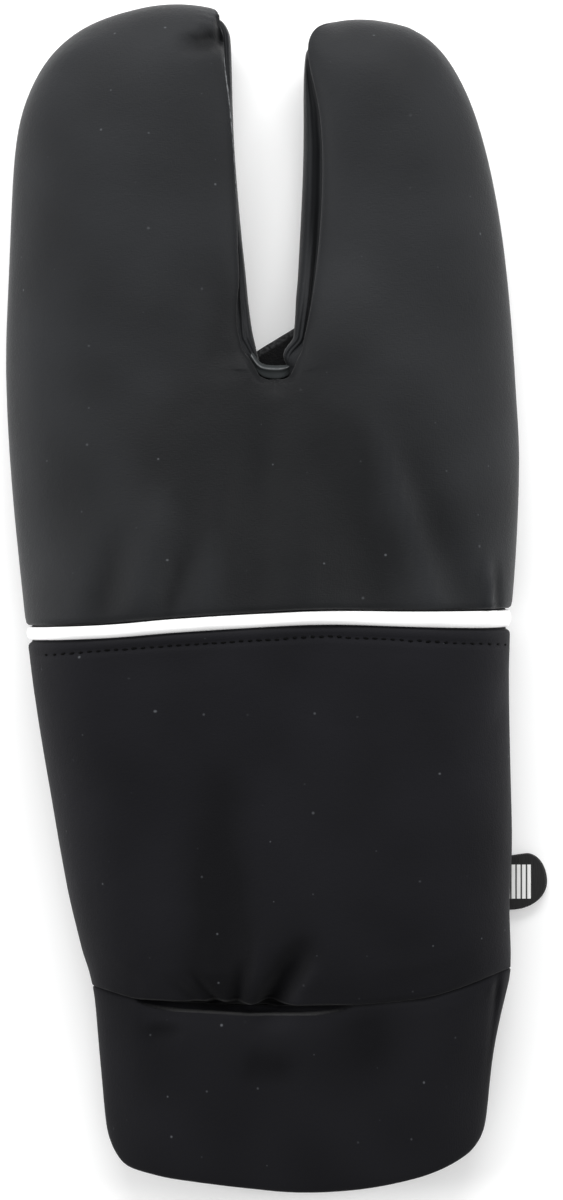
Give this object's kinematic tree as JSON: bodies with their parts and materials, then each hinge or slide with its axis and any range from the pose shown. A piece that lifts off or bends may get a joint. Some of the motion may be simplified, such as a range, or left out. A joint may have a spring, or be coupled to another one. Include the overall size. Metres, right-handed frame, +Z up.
{
  "type": "windproof glove",
  "caption": "Right-hand winter glove with two finger pockets parted by a slit, a thumb stall folded under the palm, piping across the back and a knit cuff.",
  "frame": {"origin": "on the surface that the glove lies on, under the middle of its length and width", "axes": "+X to the little-finger side, +Y from the wrist to the fingertips, +Z up out of the back of the hand"},
  "size_m": [0.1236, 0.2696, 0.0284],
  "materials": {
    "windproof_shell": "matt, finely woven face with a soft sheen",
    "lower_back_cloth": "matt stretch cloth",
    "palm_cloth": "matt synthetic suede",
    "reflective_tape": "white reflective tape",
    "cuff_knit": "matt elastic knit",
    "label": "matt, tightly woven"
  },
  "bodies": {
    "root": {"back_shell": "windproof_shell", "lower_back": "lower_back_cloth", "palm_panel": "palm_cloth", "slit_gusset": "windproof_shell", "reflective_piping": "reflective_tape", "cuff": "cuff_knit", "thumb_outside": "palm_cloth", "thumb_inside": "palm_cloth", "side_tab": "label"}
  },
  "joints": []
}
